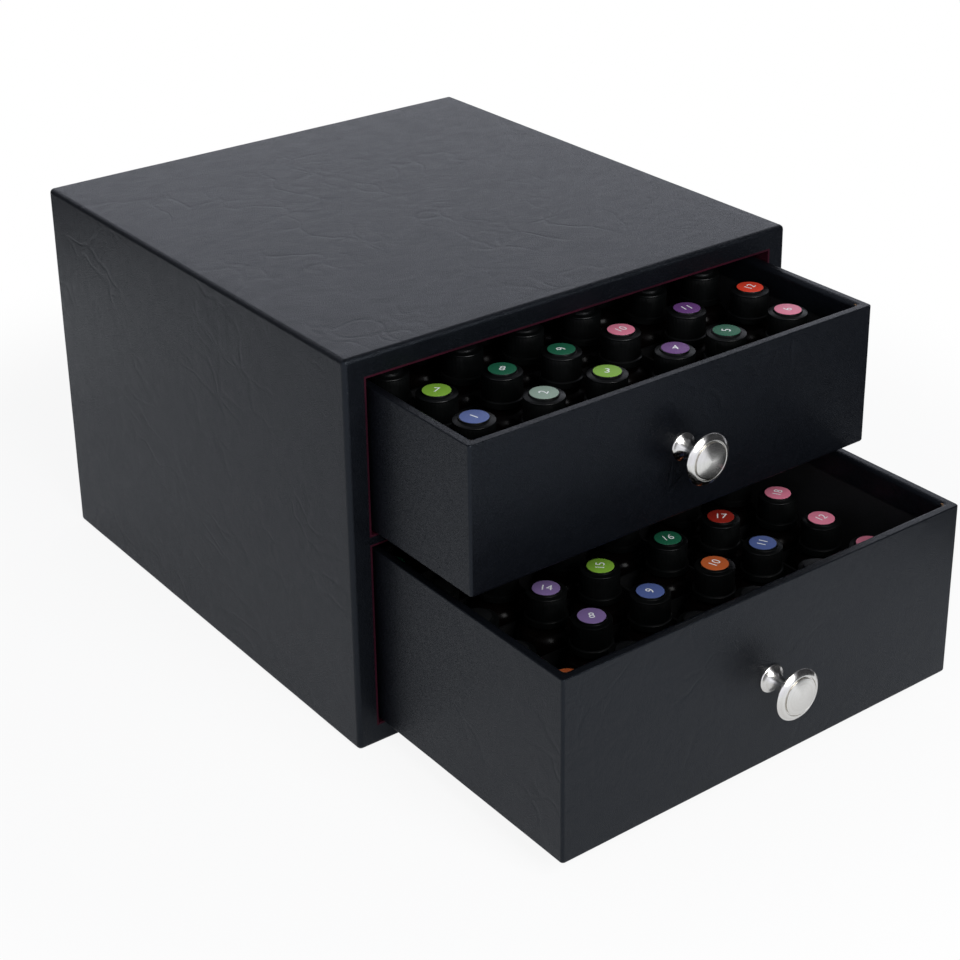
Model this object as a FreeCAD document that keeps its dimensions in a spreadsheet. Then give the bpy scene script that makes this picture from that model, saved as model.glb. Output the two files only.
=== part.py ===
import FreeCAD, Part
import math
import os
import Sketcher
from FreeCAD import Rotation, Vector

# A drawer box for essential oil bottles: a leather-covered case with two lined bays,
# one above the other, and a drawer in each. The case stands on z = 0 with the middle of
# its underside at the origin, and its front faces -Y. Sizes are in millimetres.

doc = FreeCAD.newDocument("oil_drawer_box")
sheet = doc.addObject("Spreadsheet::Sheet", "Sizes")

# Each size has a name, a value and a note.
DRIVING_SIZES = [
    ("case_width", 270, "outside width of the case"),
    ("case_depth", 290, "outside depth of the case"),
    ("case_board", 10, "thickness of the case boards"),
    ("case_rounding", 2.5, "rounding of the case edges"),
    ("shelf_board", 4, "thickness of the shelf between the bays"),
    ("leather_thickness", 0.5, "thickness of every leather skin and sheet"),
    ("sheet_margin", 12, "leather turned under round the base and back sheets"),
    ("lining_thickness", 1, "thickness of the lined sleeves in the bays"),
    ("runner_gap", 0.3, "drawer underside above its bay floor"),
    ("side_gap", 2, "drawer side to lining"),
    ("rear_gap", 3.5, "drawer back to lining when the drawer is shut"),
    ("upper_headroom", 5.1, "upper drawer rim to the lining above it"),
    ("lower_headroom", 2.7, "lower drawer rim to the lining above it"),
    ("upper_rim_rise", 4.75, "upper drawer rim above the bottles in it"),
    ("lower_rim_rise", 24.15, "lower drawer rim above the bottles in it"),
    ("upper_drawer_open", 73.3, "how far out the upper drawer stands"),
    ("lower_drawer_open", 135.9, "how far out the lower drawer stands"),
    ("drawer_board", 4.5, "thickness of the drawer walls without their skins"),
    ("bottom_board", 4, "thickness of the drawer bottom"),
    ("drawer_rounding", 1.5, "rounding of the drawer outer edges"),
    ("rim_rounding", 1.5, "rounding of the inner edge of the drawer rim"),
    ("corner_rounding", 2.2, "rounding of the upright corners inside the drawer"),
    ("floor_lining", 0.5, "thickness of the lining under the bottles"),
    ("finger_room", 8, "least play of a bottle across its cell"),
    ("row_room", 2, "least play of a bottle along its cell"),
    ("empty_rows", 2, "rows at the back that hold no bottles"),
    ("divider_thickness", 1.2, "thickness of the divider cards"),
    ("divider_height", 40, "height of the divider cards"),
    ("divider_overhang", 4, "long cards in front of the first cross card"),
    ("card_clearance", 0.2, "play of a card in its slot and at its ends"),
    ("bottle_radius", 14, "outer radius of a bottle"),
    ("bottle_foot", 2.5, "rounding at the bottom of a bottle"),
    ("bottle_shoulder", 38.5, "height at which the shoulder starts"),
    ("shoulder_rise", 7, "height of the shoulder"),
    ("shoulder_turn", 0.8, "arc radius of the shoulder over its chord"),
    ("glass_wall", 2.2, "thickness of the glass"),
    ("mouth_radius", 5, "inner radius of the bottle neck"),
    ("neck_wall", 3, "thickness of the bottle neck"),
    ("neck_rise", 13, "height of the neck above the shoulder"),
    ("bottle_play", 0.3, "least gap from a bottle to a card"),
    ("plug_depth", 7, "depth of the dropper plug in the neck"),
    ("plug_fit", 0.05, "radial play of the plug in the neck"),
    ("plug_flange", 1, "thickness of the plug flange on the lip"),
    ("plug_flange_lip", 1.5, "reach of the plug flange beyond the mouth"),
    ("spout_radius", 2.4, "radius of the plug spout"),
    ("spout_height", 1.8, "height of the plug spout above its flange"),
    ("cap_wall", 1.6, "thickness of the wall of a cap"),
    ("cap_ring_step", 0.6, "reach of the ring under a cap beyond it"),
    ("cap_ring_height", 3, "height of the ring under a cap"),
    ("cap_skirt_gap", 2.2, "bottom of the cap above the shoulder"),
    ("cap_taper", 0.4, "narrowing of a cap from its ring to its shoulder"),
    ("cap_shoulder_drop", 2.6, "shoulder of a cap below its face"),
    ("cap_brow_drop", 1.2, "inner edge of the shoulder below the face"),
    ("cap_shoulder_turn", 0.9, "arc radius of the shoulder over its chord"),
    ("cap_top", 2, "thickness of the top of a cap"),
    ("cap_play", 0.4, "play between a cap and what is under it"),
    ("label_radius", 6.35, "radius of the sticker on a cap"),
    ("label_margin", 0.55, "face of a cap beyond its sticker"),
    ("label_thickness", 0.15, "thickness of the sticker"),
    ("knob_projection", 20, "knob face in front of the drawer"),
    ("knob_drop", 1.3, "middle of a knob below the middle of its drawer front"),
    ("knob_base_radius", 7, "radius of the foot of the knob"),
    ("knob_base_edge", 0.6, "straight edge of the foot"),
    ("knob_swell_radius", 3.9, "radius where the foot turns into the stem"),
    ("knob_swell_height", 3.3, "height where the foot turns into the stem"),
    ("knob_neck_wall", 0.9, "metal round the screw hole in the thin stem"),
    ("knob_neck_start", 7.6, "height where the thin stem starts"),
    ("knob_neck_length", 2.6, "length of the thin stem"),
    ("knob_head_radius", 13, "radius of the knob head where its edge would be sharp"),
    ("knob_head_edge", 4.4, "edge of the head behind its face"),
    ("knob_edge_width", 1, "width of the rounded edge of the head"),
    ("knob_ring_radius", 9.4, "inner radius of the domed ring on the face"),
    ("knob_ring_drop", 1, "top of the domed ring behind the middle of the face"),
    ("knob_groove", 0.35, "depth and width of the groove inside the ring"),
    ("knob_foot_turn", 1, "arc radius of the foot over its chord"),
    ("knob_stem_turn", 1.5, "arc radius of the stem over its chord"),
    ("knob_back_turn", 0.95, "arc radius behind the head over its chord"),
    ("knob_edge_turn", 0.6, "arc radius of the edge over its chord"),
    ("knob_ring_turn", 1.9, "arc radius of the ring over its chord"),
    ("screw_radius", 1.9, "radius of the knob screw"),
    ("screw_play", 0.1, "radial play of the screw in the knob"),
    ("screw_hole_play", 0.4, "radial play of the screw in the drawer front"),
    ("screw_reach", 6, "length of the screw inside the knob"),
    ("screw_tip_gap", 1.5, "hole in the knob beyond the screw"),
    ("screw_head_radius", 4, "radius of the screw head"),
    ("screw_head_height", 2.4, "height of the screw head"),
    ("screw_head_bevel", 0.8, "bevel round the screw head"),
    ("screw_drive_radius", 1.3, "radius of the socket in the screw head"),
    ("screw_drive_depth", 1.4, "depth of the socket in the screw head"),
    ("screw_head_gap", 0.8, "screw head to the long cards"),
    ("washer_rim", 1.2, "reach of the washer beyond the screw head"),
    ("washer_thickness", 0.8, "thickness of the washer"),
]

for line, (alias, value, note) in enumerate(DRIVING_SIZES, start=1):
    sheet.set(f"A{line}", alias)
    sheet.set(f"B{line}", str(value))
    sheet.set(f"C{line}", note)
    sheet.setAlias(f"B{line}", alias)
doc.recompute()


def size(name):
    """The expression that reads one driving size."""
    return f"Sizes.{name}"


def number(expression):
    """The value of an expression, as a plain number."""
    return float(sheet.evalExpression(expression))


def total(*terms):
    """An expression that adds its terms."""
    return "(" + " + ".join(terms) + ")"


LEATHER = size("leather_thickness")
LINING = size("lining_thickness")
SAME_PLACE = 0.01
QUARTER_TURN = "sqrt(0.5)"

# The bottle, from its foot up.
NECK = total(size("mouth_radius"), size("neck_wall"))
SHOULDER_TOP = total(size("bottle_shoulder"), size("shoulder_rise"))
LIP = total(SHOULDER_TOP, size("neck_rise"))
SPOUT_TOP = total(LIP, size("plug_flange"), size("spout_height"))
CAP_BORE = total(NECK, size("cap_play"))
CAP_RADIUS = total(CAP_BORE, size("cap_wall"))
CAP_RING = total(CAP_RADIUS, size("cap_ring_step"))
CAP_BOTTOM = total(SHOULDER_TOP, size("cap_skirt_gap"))
CAP_CEILING = total(SPOUT_TOP, size("cap_play"))
CAP_SUMMIT = total(CAP_CEILING, size("cap_top"))
CAP_FACE = total(size("label_radius"), size("label_margin"))
LABEL_TOP = total(CAP_SUMMIT, size("label_thickness"))

# Heights in a drawer, from its underside up.
BOTTOM_TOP = total(LEATHER, size("bottom_board"))
FLOOR = total(BOTTOM_TOP, size("floor_lining"))
DRAWER_HEIGHT = {
    bay: total(FLOOR, LABEL_TOP, size(f"{bay}_rim_rise")) for bay in ("lower", "upper")
}

# The case, worked out from what stands in it.
CASE_WALL = total(LEATHER, size("case_board"))
CASE_FRONT = f"(-{size('case_depth')} / 2)"
SLEEVE_WIDTH = f"({size('case_width')} - 2 * {CASE_WALL})"
SLEEVE_DEPTH = f"({size('case_depth')} - {CASE_WALL})"
BAY_WIDTH = f"({SLEEVE_WIDTH} - 2 * {LINING})"
BAY_DEPTH = f"({SLEEVE_DEPTH} - {LINING})"
BAY_CLEAR = {
    bay: total(size("runner_gap"), height, size(f"{bay}_headroom"))
    for bay, height in DRAWER_HEIGHT.items()
}
SLEEVE_HEIGHT = {bay: f"({clear} + 2 * {LINING})" for bay, clear in BAY_CLEAR.items()}
SHELF_BOTTOM = total(CASE_WALL, SLEEVE_HEIGHT["lower"])
SLEEVE_BOTTOM = {
    "lower": CASE_WALL,
    "upper": total(SHELF_BOTTOM, size("shelf_board")),
}
CASE_HEIGHT = total(SLEEVE_BOTTOM["upper"], SLEEVE_HEIGHT["upper"], CASE_WALL)

# The drawers, in their own frame: the front face at y = 0 and the underside at z = 0.
DRAWER_WIDTH = f"({BAY_WIDTH} - 2 * {size('side_gap')})"
DRAWER_LENGTH = f"({BAY_DEPTH} - {size('rear_gap')})"
DRAWER_WALL = f"({size('drawer_board')} + 2 * {LEATHER})"
INNER_WIDTH = f"({DRAWER_WIDTH} - 2 * {DRAWER_WALL})"
INNER_LENGTH = f"({DRAWER_LENGTH} - 2 * {DRAWER_WALL})"
DRAWER_Z = {bay: total(SLEEVE_BOTTOM[bay], LINING, size("runner_gap")) for bay in SLEEVE_BOTTOM}
DRAWER_Y = {bay: f"({CASE_FRONT} - {size(bay + '_drawer_open')})" for bay in SLEEVE_BOTTOM}

# The cells: the first cross card stands clear of the head of the knob screw.
SCREW_ROOM = total(size("washer_thickness"), size("screw_head_height"), size("screw_head_gap"))
LONG_CARD_START = total(DRAWER_WALL, SCREW_ROOM)
CELLS_START = total(LONG_CARD_START, size("divider_overhang"))
CELLS_LENGTH = f"({DRAWER_LENGTH} - {DRAWER_WALL} - {CELLS_START})"
BOTTLE_ROOM = total(size("bottle_radius"), size("bottle_radius"), size("divider_thickness"))
COLUMNS = f"floor({INNER_WIDTH} / {total(BOTTLE_ROOM, size('finger_room'))})"
ROWS = f"floor({CELLS_LENGTH} / {total(BOTTLE_ROOM, size('row_room'))})"
COLUMN_PITCH = f"({INNER_WIDTH} / {COLUMNS})"
ROW_PITCH = f"({CELLS_LENGTH} / {ROWS})"

# The knob, from its foot outwards.
KNOB_BORE = total(size("screw_radius"), size("screw_play"))
KNOB_NECK = total(KNOB_BORE, size("knob_neck_wall"))
KNOB_BORE_END = total(size("screw_reach"), size("screw_tip_gap"))
KNOB_NECK_END = total(size("knob_neck_start"), size("knob_neck_length"))
KNOB_EDGE = f"({size('knob_projection')} - {size('knob_head_edge')})"
KNOB_RING_TOP = f"({size('knob_projection')} - {size('knob_ring_drop')})"
KNOB_EDGE_RADIUS = f"({size('knob_head_radius')} - {size('knob_edge_width')} / 2)"
SCREW_HOLE = total(size("screw_radius"), size("screw_hole_play"))
WASHER_RADIUS = total(size("screw_head_radius"), size("washer_rim"))


def place(piece, x="0", y="0", z="0"):
    """Bind where a piece stands."""
    for axis, expression in (("x", x), ("y", y), ("z", z)):
        piece.setExpression(f"Placement.Base.{axis}", expression)
    return piece


def box(name, width, depth, height, x="0", y="0", z="0"):
    """A plain box that is centred on x and runs back from y and up from z."""
    piece = doc.addObject("Part::Box", name)
    piece.setExpression("Length", width)
    piece.setExpression("Width", depth)
    piece.setExpression("Height", height)
    return place(piece, f"({x}) - ({width}) / 2", y, z)


def origin_plane(body, role):
    """One of a body's own origin planes."""
    return next(item for item in body.Origin.OriginFeatures if item.Role == role)


def bind(sketch, constraint, name, expression):
    """Add a constraint and bind its value to an expression."""
    index = sketch.addConstraint(constraint)
    sketch.renameConstraint(index, name)
    sketch.setExpression(f"Constraints.{name}", expression)


def rectangle(body, name, width, depth, inset="0", raised="0"):
    """A sketched rectangle, centred on x, that runs back from y = inset at z = raised."""
    sketch = body.newObject("Sketcher::SketchObject", name)
    sketch.AttachmentSupport = (origin_plane(body, "XY_Plane"), [""])
    sketch.MapMode = "FlatFace"
    sketch.setExpression("AttachmentOffset.Base.y", inset)
    sketch.setExpression("AttachmentOffset.Base.z", raised)
    half, back = number(width) / 2, number(depth)
    corners = [Vector(-half, 0), Vector(half, 0), Vector(half, back), Vector(-half, back)]
    for start in range(4):
        sketch.addGeometry(Part.LineSegment(corners[start], corners[(start + 1) % 4]), False)
    for side in range(4):
        sketch.addConstraint(Sketcher.Constraint("Coincident", side, 2, (side + 1) % 4, 1))
    sketch.addConstraint(Sketcher.Constraint("Horizontal", 2))
    sketch.addConstraint(Sketcher.Constraint("Vertical", 1))
    sketch.addConstraint(Sketcher.Constraint("Vertical", 3))
    sketch.addConstraint(Sketcher.Constraint("PointOnObject", 0, 1, -1))
    sketch.addConstraint(Sketcher.Constraint("Symmetric", 0, 1, 0, 2, -2))
    bind(sketch, Sketcher.Constraint("DistanceX", 0, 1, 0, 2, 2 * half), "width", width)
    bind(sketch, Sketcher.Constraint("DistanceY", 1, 1, 1, 2, back), "depth", depth)
    return sketch


def round_edges(body, feature, name, edges, radius):
    """Round the given edges of a feature."""
    rounding = body.newObject("PartDesign::Fillet", name)
    rounding.Base = (feature, edges)
    rounding.setExpression("Radius", radius)
    doc.recompute()
    return rounding


def rounded_block(name, width, depth, height, radius):
    """A padded block, centred on x, that runs back from y = 0, rounded on every edge."""
    body = doc.addObject("PartDesign::Body", name)
    pad = body.newObject("PartDesign::Pad", name + "_pad")
    pad.Profile = rectangle(body, name + "_outline", width, depth)
    pad.setExpression("Length", height)
    doc.recompute()
    edges = [f"Edge{index + 1}" for index in range(len(pad.Shape.Edges))]
    round_edges(body, pad, name + "_edges", edges, radius)
    return body


def upright_inner_edges(shape, reach, top):
    """Names of the upright edges that stand inside a tray's walls."""
    names = []
    for index, edge in enumerate(shape.Edges):
        first, last = edge.Vertexes[0].Point, edge.Vertexes[-1].Point
        upright = abs(first.x - last.x) < SAME_PLACE and abs(first.y - last.y) < SAME_PLACE
        inside = abs(abs(first.x) - reach) < SAME_PLACE
        to_the_top = abs(max(first.z, last.z) - top) < SAME_PLACE
        if upright and inside and to_the_top:
            names.append(f"Edge{index + 1}")
    return names


def inner_rim_edges(shape, reach, front, back, top):
    """Names of the edges round the mouth of a tray."""
    names = []
    for index, edge in enumerate(shape.Edges):
        bounds = edge.BoundBox
        level = abs(bounds.ZMin - top) < SAME_PLACE and abs(bounds.ZMax - top) < SAME_PLACE
        across = max(abs(bounds.XMin), abs(bounds.XMax)) < reach + SAME_PLACE
        along = bounds.YMin > front - SAME_PLACE and bounds.YMax < back + SAME_PLACE
        if level and across and along:
            names.append(f"Edge{index + 1}")
    return names


def tray(name, inset, height, floor, wall, outer_round, rim_round, corner_round):
    """An open drawer shape, smaller all round than the drawer by inset."""
    width = f"({DRAWER_WIDTH} - 2 * {inset})"
    length = f"({DRAWER_LENGTH} - 2 * {inset})"
    tall = f"({height} - 2 * {inset})"
    body = rounded_block(name, width, length, tall, outer_round)
    space_width = f"({width} - 2 * {wall})"
    space_length = f"({length} - 2 * {wall})"
    space = body.newObject("PartDesign::Pocket", name + "_space")
    space.Profile = rectangle(body, name + "_mouth", space_width, space_length, wall, tall)
    space.setExpression("Length", f"{tall} - {floor}")
    doc.recompute()
    reach, top = number(space_width) / 2, number(tall)
    corners = upright_inner_edges(space.Shape, reach, top)
    corner = round_edges(body, space, name + "_corners", corners, corner_round)
    front, back = number(wall), number(wall) + number(space_length)
    mouth = inner_rim_edges(corner.Shape, reach, front, back, top)
    round_edges(body, corner, name + "_rim", mouth, rim_round)
    return body


def boolean(kind, name, base, tool):
    """A cut or a common of two shapes."""
    piece = doc.addObject(kind, name)
    piece.Base = base
    piece.Tool = tool
    return piece


def cut(name, base, tool):
    return boolean("Part::Cut", name, base, tool)


def common(name, base, tool):
    return boolean("Part::Common", name, base, tool)


def fuse(name, *shapes):
    """Several shapes taken together."""
    piece = doc.addObject("Part::MultiFuse", name)
    piece.Shapes = list(shapes)
    return piece


def arc_between(start, end, radius):
    """An arc of a positive radius that turns left, or of a negative one that turns right."""
    chord = end - start
    half = chord.Length / 2
    rise = math.sqrt(max(radius * radius - half * half, 0))
    across = Vector(-chord.y, chord.x) / chord.Length
    centre = (start + end) / 2 + across * (rise if radius > 0 else -rise)
    first, last = (start, end) if radius > 0 else (end, start)
    angles = [math.atan2(point.y - centre.y, point.x - centre.x) for point in (first, last)]
    if angles[1] < angles[0]:
        angles[1] += 2 * math.pi
    circle = Part.Circle(centre, Vector(0, 0, 1), abs(radius))
    return Part.ArcOfCircle(circle, *angles)


def turned(name, outline):
    """A body turned about its Z axis. The outline lists radius and height. Where an arc ends
    there, it also gives the arc's radius over its chord, negative if the arc turns right."""
    body = doc.addObject("PartDesign::Body", name)
    sketch = body.newObject("Sketcher::SketchObject", name + "_outline")
    sketch.AttachmentSupport = (origin_plane(body, "XZ_Plane"), [""])
    sketch.MapMode = "FlatFace"
    points = [Vector(number(point[0]), number(point[1])) for point in outline]
    ends = []
    for index, point in enumerate(outline):
        start, end = points[index - 1], points[index]
        if len(point) == 2:
            geometry = sketch.addGeometry(Part.LineSegment(start, end), False)
            ends.append((geometry, 1, 2))
            continue
        radius = number(point[2]) * (end - start).Length
        geometry = sketch.addGeometry(arc_between(start, end, radius), False)
        ends.append((geometry, 1, 2) if radius > 0 else (geometry, 2, 1))
        before = outline[index - 1]
        chord = f"sqrt(({point[0]} - {before[0]})^2 + ({point[1]} - {before[1]})^2)"
        bind(sketch, Sketcher.Constraint("Radius", geometry, abs(radius)), f"turn_{index}",
             f"abs({point[2]}) * {chord}")
    for index, point in enumerate(outline):
        geometry, _, finish = ends[index]
        after, begin, _ = ends[(index + 1) % len(outline)]
        sketch.addConstraint(Sketcher.Constraint("Coincident", geometry, finish, after, begin))
        for kind, axis, expression, value in (
                ("DistanceX", -2, point[0], points[index].x),
                ("DistanceY", -1, point[1], points[index].y)):
            if expression == "0":
                sketch.addConstraint(Sketcher.Constraint("PointOnObject", geometry, finish, axis))
            else:
                bind(sketch, Sketcher.Constraint(kind, -1, 1, geometry, finish, value),
                     f"{kind}_{index}", expression)
    solid = body.newObject("PartDesign::Revolution", name + "_turning")
    solid.Profile = sketch
    solid.ReferenceAxis = (sketch, ["V_Axis"])
    solid.Angle = 360
    return body


# Case

def make_case():
    """The boards, skins and linings that stand still."""
    block = rounded_block("case_outside", size("case_width"), size("case_depth"),
                          CASE_HEIGHT, size("case_rounding"))
    place(block, y=CASE_FRONT)
    core = rounded_block(
        "case_core_block",
        f"({size('case_width')} - 2 * {LEATHER})", f"({size('case_depth')} - 2 * {LEATHER})",
        f"({CASE_HEIGHT} - 2 * {LEATHER})", f"({size('case_rounding')} - {LEATHER})")
    place(core, y=total(CASE_FRONT, LEATHER), z=LEATHER)

    sleeves = {}
    for bay in ("lower", "upper"):
        sleeves[bay] = box(f"{bay}_sleeve_space", SLEEVE_WIDTH, SLEEVE_DEPTH, SLEEVE_HEIGHT[bay],
                           y=CASE_FRONT, z=SLEEVE_BOTTOM[bay])
        room = box(f"{bay}_bay_space", BAY_WIDTH, BAY_DEPTH, BAY_CLEAR[bay],
                   y=CASE_FRONT, z=total(SLEEVE_BOTTOM[bay], LINING))
        cut(f"{bay}_bay_lining", sleeves[bay], room)
    bays = fuse("bay_spaces", sleeves["lower"], sleeves["upper"])
    boards = cut("case_core", core, bays)

    whole = (size("case_width"), size("case_depth"))
    top = box("top_slab", *whole, CASE_WALL, y=CASE_FRONT, z=f"{CASE_HEIGHT} - {CASE_WALL}")
    bottom = box("bottom_slab", *whole, CASE_WALL, y=CASE_FRONT)
    common("case_top_board", boards, top)
    common("case_bottom_board", boards, bottom)
    upright = f"({CASE_HEIGHT} - 2 * {CASE_WALL})"
    for side, sign in (("left", "-"), ("right", "")):
        middle = f"{sign}({size('case_width')} - {CASE_WALL}) / 2"
        slab = box(f"{side}_slab", CASE_WALL, size("case_depth"), upright,
                   x=middle, y=CASE_FRONT, z=CASE_WALL)
        common(f"case_{side}_board", boards, slab)
    back = box("back_slab", SLEEVE_WIDTH, CASE_WALL, upright,
               y=f"-({CASE_FRONT}) - {CASE_WALL}", z=CASE_WALL)
    common("case_back_board", boards, back)
    shelf = box("shelf_slab", SLEEVE_WIDTH, SLEEVE_DEPTH, size("shelf_board"),
                y=CASE_FRONT, z=SHELF_BOTTOM)
    common("case_shelf_board", boards, shelf)

    margin = f"2 * {size('sheet_margin')}"
    box("case_base_sheet", f"{size('case_width')} - {margin}", f"{size('case_depth')} - {margin}",
        LEATHER, y=total(CASE_FRONT, size("sheet_margin")))
    box("case_back_sheet", f"{size('case_width')} - {margin}", LEATHER,
        f"{CASE_HEIGHT} - {margin}", y=f"-({CASE_FRONT}) - {LEATHER}", z=size("sheet_margin"))
    inside = fuse("case_filling", core, bays, doc.case_base_sheet, doc.case_back_sheet)
    cut("case_wrap", block, inside)


# Drawers

def make_drawer_shell(bay):
    """The boards and skins of one drawer."""
    height = DRAWER_HEIGHT[bay]
    y, z = DRAWER_Y[bay], DRAWER_Z[bay]
    outside = tray(f"{bay}_drawer_outside", "0", height, BOTTOM_TOP, DRAWER_WALL,
                   size("drawer_rounding"), size("rim_rounding"), size("corner_rounding"))
    place(outside, y=y, z=z)
    core = tray(f"{bay}_drawer_core", LEATHER, height, size("bottom_board"), size("drawer_board"),
                f"({size('drawer_rounding')} - {LEATHER})",
                f"({size('rim_rounding')} - {LEATHER})",
                f"({size('corner_rounding')} + {LEATHER})")
    place(core, y=total(y, LEATHER), z=total(z, LEATHER))

    knob_z = total(z, f"({height} / 2 - {size('knob_drop')})")
    hole = doc.addObject("Part::Cylinder", f"{bay}_knob_hole")
    hole.Placement.Rotation = Rotation(Vector(1, 0, 0), -90)
    hole.setExpression("Radius", SCREW_HOLE)
    hole.setExpression("Height", f"2 * {DRAWER_WALL}")
    place(hole, y=f"{y} - {DRAWER_WALL} / 2", z=knob_z)

    board = total(LEATHER, size("drawer_board"))
    front = box(f"{bay}_front_slab", DRAWER_WIDTH, board, height, y=y, z=z)
    back = box(f"{bay}_back_slab", DRAWER_WIDTH, board, height,
               y=f"{y} + {DRAWER_LENGTH} - {board}", z=z)
    solid_front = common(f"{bay}_front_blank", core, front)
    cut(f"{bay}_drawer_front_board", solid_front, hole)
    common(f"{bay}_drawer_back_board", core, back)
    between = f"({DRAWER_LENGTH} - 2 * {board})"
    for side, sign in (("left", "-"), ("right", "")):
        middle = f"{sign}({DRAWER_WIDTH} - {board}) / 2"
        slab = box(f"{bay}_{side}_slab", board, between, height, x=middle, y=total(y, board), z=z)
        common(f"{bay}_drawer_{side}_board", core, slab)
    slab = box(f"{bay}_bottom_slab", f"({DRAWER_WIDTH} - 2 * {board})", between, BOTTOM_TOP,
               y=total(y, board), z=z)
    common(f"{bay}_drawer_bottom_board", core, slab)

    margin = f"2 * {size('sheet_margin')}"
    base = box(f"{bay}_drawer_base_sheet", f"{DRAWER_WIDTH} - {margin}",
               f"{DRAWER_LENGTH} - {margin}", LEATHER, y=total(y, size("sheet_margin")), z=z)
    cut(f"{bay}_drawer_wrap", outside, fuse(f"{bay}_drawer_filling", core, base, hole))
    lining_space = box(f"{bay}_lining_space", INNER_WIDTH, INNER_LENGTH, size("floor_lining"),
                       y=total(y, DRAWER_WALL), z=total(z, BOTTOM_TOP))
    cut(f"{bay}_drawer_floor_lining", lining_space, outside)
    return knob_z


def make_knob(bay, knob_z):
    """The knob on the front of one drawer, with its screw and washer inside."""
    y = DRAWER_Y[bay]
    knob = turned(f"{bay}_knob", [
        (KNOB_BORE, "0"),
        (size("knob_base_radius"), "0"),
        (size("knob_base_radius"), size("knob_base_edge")),
        (size("knob_swell_radius"), size("knob_swell_height"), f"-{size('knob_foot_turn')}"),
        (KNOB_NECK, size("knob_neck_start"), f"-{size('knob_stem_turn')}"),
        (KNOB_NECK, KNOB_NECK_END),
        (KNOB_EDGE_RADIUS, KNOB_EDGE, f"-{size('knob_back_turn')}"),
        (KNOB_EDGE_RADIUS, total(KNOB_EDGE, size("knob_edge_width")), size("knob_edge_turn")),
        (size("knob_ring_radius"), KNOB_RING_TOP, size("knob_ring_turn")),
        (f"{size('knob_ring_radius')} - {size('knob_groove')}",
         f"{KNOB_RING_TOP} - {size('knob_groove')}"),
        ("0", size("knob_projection")),
        ("0", KNOB_BORE_END),
        (KNOB_BORE, KNOB_BORE_END),
    ])
    head_start = total(DRAWER_WALL, size("washer_thickness"))
    head_end = total(head_start, size("screw_head_height"))
    screw = turned(f"{bay}_knob_screw", [
        ("0", f"-{size('screw_reach')}"),
        (size("screw_radius"), f"-{size('screw_reach')}"),
        (size("screw_radius"), head_start),
        (size("screw_head_radius"), head_start),
        (size("screw_head_radius"), f"{head_end} - {size('screw_head_bevel')}"),
        (f"{size('screw_head_radius')} - {size('screw_head_bevel')}", head_end),
        (size("screw_drive_radius"), head_end),
        (size("screw_drive_radius"), f"{head_end} - {size('screw_drive_depth')}"),
        ("0", f"{head_end} - {size('screw_drive_depth')}"),
    ])
    washer = turned(f"{bay}_knob_washer", [
        (SCREW_HOLE, DRAWER_WALL),
        (WASHER_RADIUS, DRAWER_WALL),
        (WASHER_RADIUS, head_start),
        (SCREW_HOLE, head_start),
    ])
    knob.Placement.Rotation = Rotation(Vector(1, 0, 0), 90)
    screw.Placement.Rotation = Rotation(Vector(1, 0, 0), -90)
    washer.Placement.Rotation = Rotation(Vector(1, 0, 0), -90)
    for piece in (knob, screw, washer):
        place(piece, y=y, z=knob_z)


def slotted_card(length, height, thickness, slots, slot_width, from_top):
    """A card that stands on y = 0 to length, with slots cut half way from one edge."""
    card = Part.makeBox(thickness, length, height, Vector(-thickness / 2, 0, 0))
    low = height / 2 if from_top else 0
    for along in slots:
        slot = Part.makeBox(thickness * 2, slot_width, height / 2,
                            Vector(-thickness, along - slot_width / 2, low))
        card = card.cut(slot)
    return card


def column_x(column):
    """The middle of a column of cells."""
    return (column + 0.5) * number(COLUMN_PITCH) - number(INNER_WIDTH) / 2


def row_y(row):
    """The middle of a row of cells, behind the front of the drawer."""
    return number(CELLS_START) + (row + 0.5) * number(ROW_PITCH)


def feature(name, shape, bay):
    """A piece whose shape is worked out here, placed with its drawer."""
    piece = doc.addObject("Part::Feature", name)
    piece.Shape = shape
    return place(piece, y=DRAWER_Y[bay], z=total(DRAWER_Z[bay], FLOOR))


def make_dividers(bay):
    """The slotted cards that stand on the drawer floor."""
    columns, rows = int(number(COLUMNS)), int(number(ROWS))
    thickness = number(size("divider_thickness"))
    height = number(size("divider_height"))
    clearance = number(size("card_clearance"))
    slot = thickness + 2 * clearance
    long_start = number(LONG_CARD_START)
    long_end = number(DRAWER_LENGTH) - number(DRAWER_WALL) - clearance
    card_rows = [row_y(row - 0.5) for row in range(rows)]
    card_columns = [column_x(column - 0.5) for column in range(1, columns)]

    long_slots = [along - long_start for along in card_rows]
    long_card = slotted_card(long_end - long_start, height, thickness, long_slots, slot, True)
    long_cards = [long_card.translated(Vector(x, long_start, 0)) for x in card_columns]

    reach = number(INNER_WIDTH) / 2 - clearance
    cross_slots = [x + reach for x in card_columns]
    cross_card = slotted_card(2 * reach, height, thickness, cross_slots, slot, False)
    cross_card.rotate(Vector(0, 0, 0), Vector(0, 0, 1), -90)
    cross_cards = [cross_card.translated(Vector(-reach, y, 0)) for y in card_rows]

    feature(f"{bay}_long_dividers", Part.makeCompound(long_cards), bay)
    feature(f"{bay}_cross_dividers", Part.makeCompound(cross_cards), bay)


# Bottles stand loosely in their cells: each number is a share of the play to the right
# or to the left, from the first row back. Rows behind these repeat them from the start.
STANDING = {
    "upper": [
        [0.0, 0.1, -0.3, 0.3, -1.0, -0.5],
        [0.7, 0.3, -0.5, -1.0, -0.2, 0.7],
        [-0.3, 0.6, 0.1, -0.6, 0.4, -0.2],
    ],
    "lower": [
        [0.5, -0.2, 0.3, -0.4, 0.2, -0.6],
        [-0.5, 0.8, 0.1, 0.6, -1.0, -0.7],
        [0.3, 0.6, -0.7, 0.3, -0.5, -0.3],
    ],
}


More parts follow.
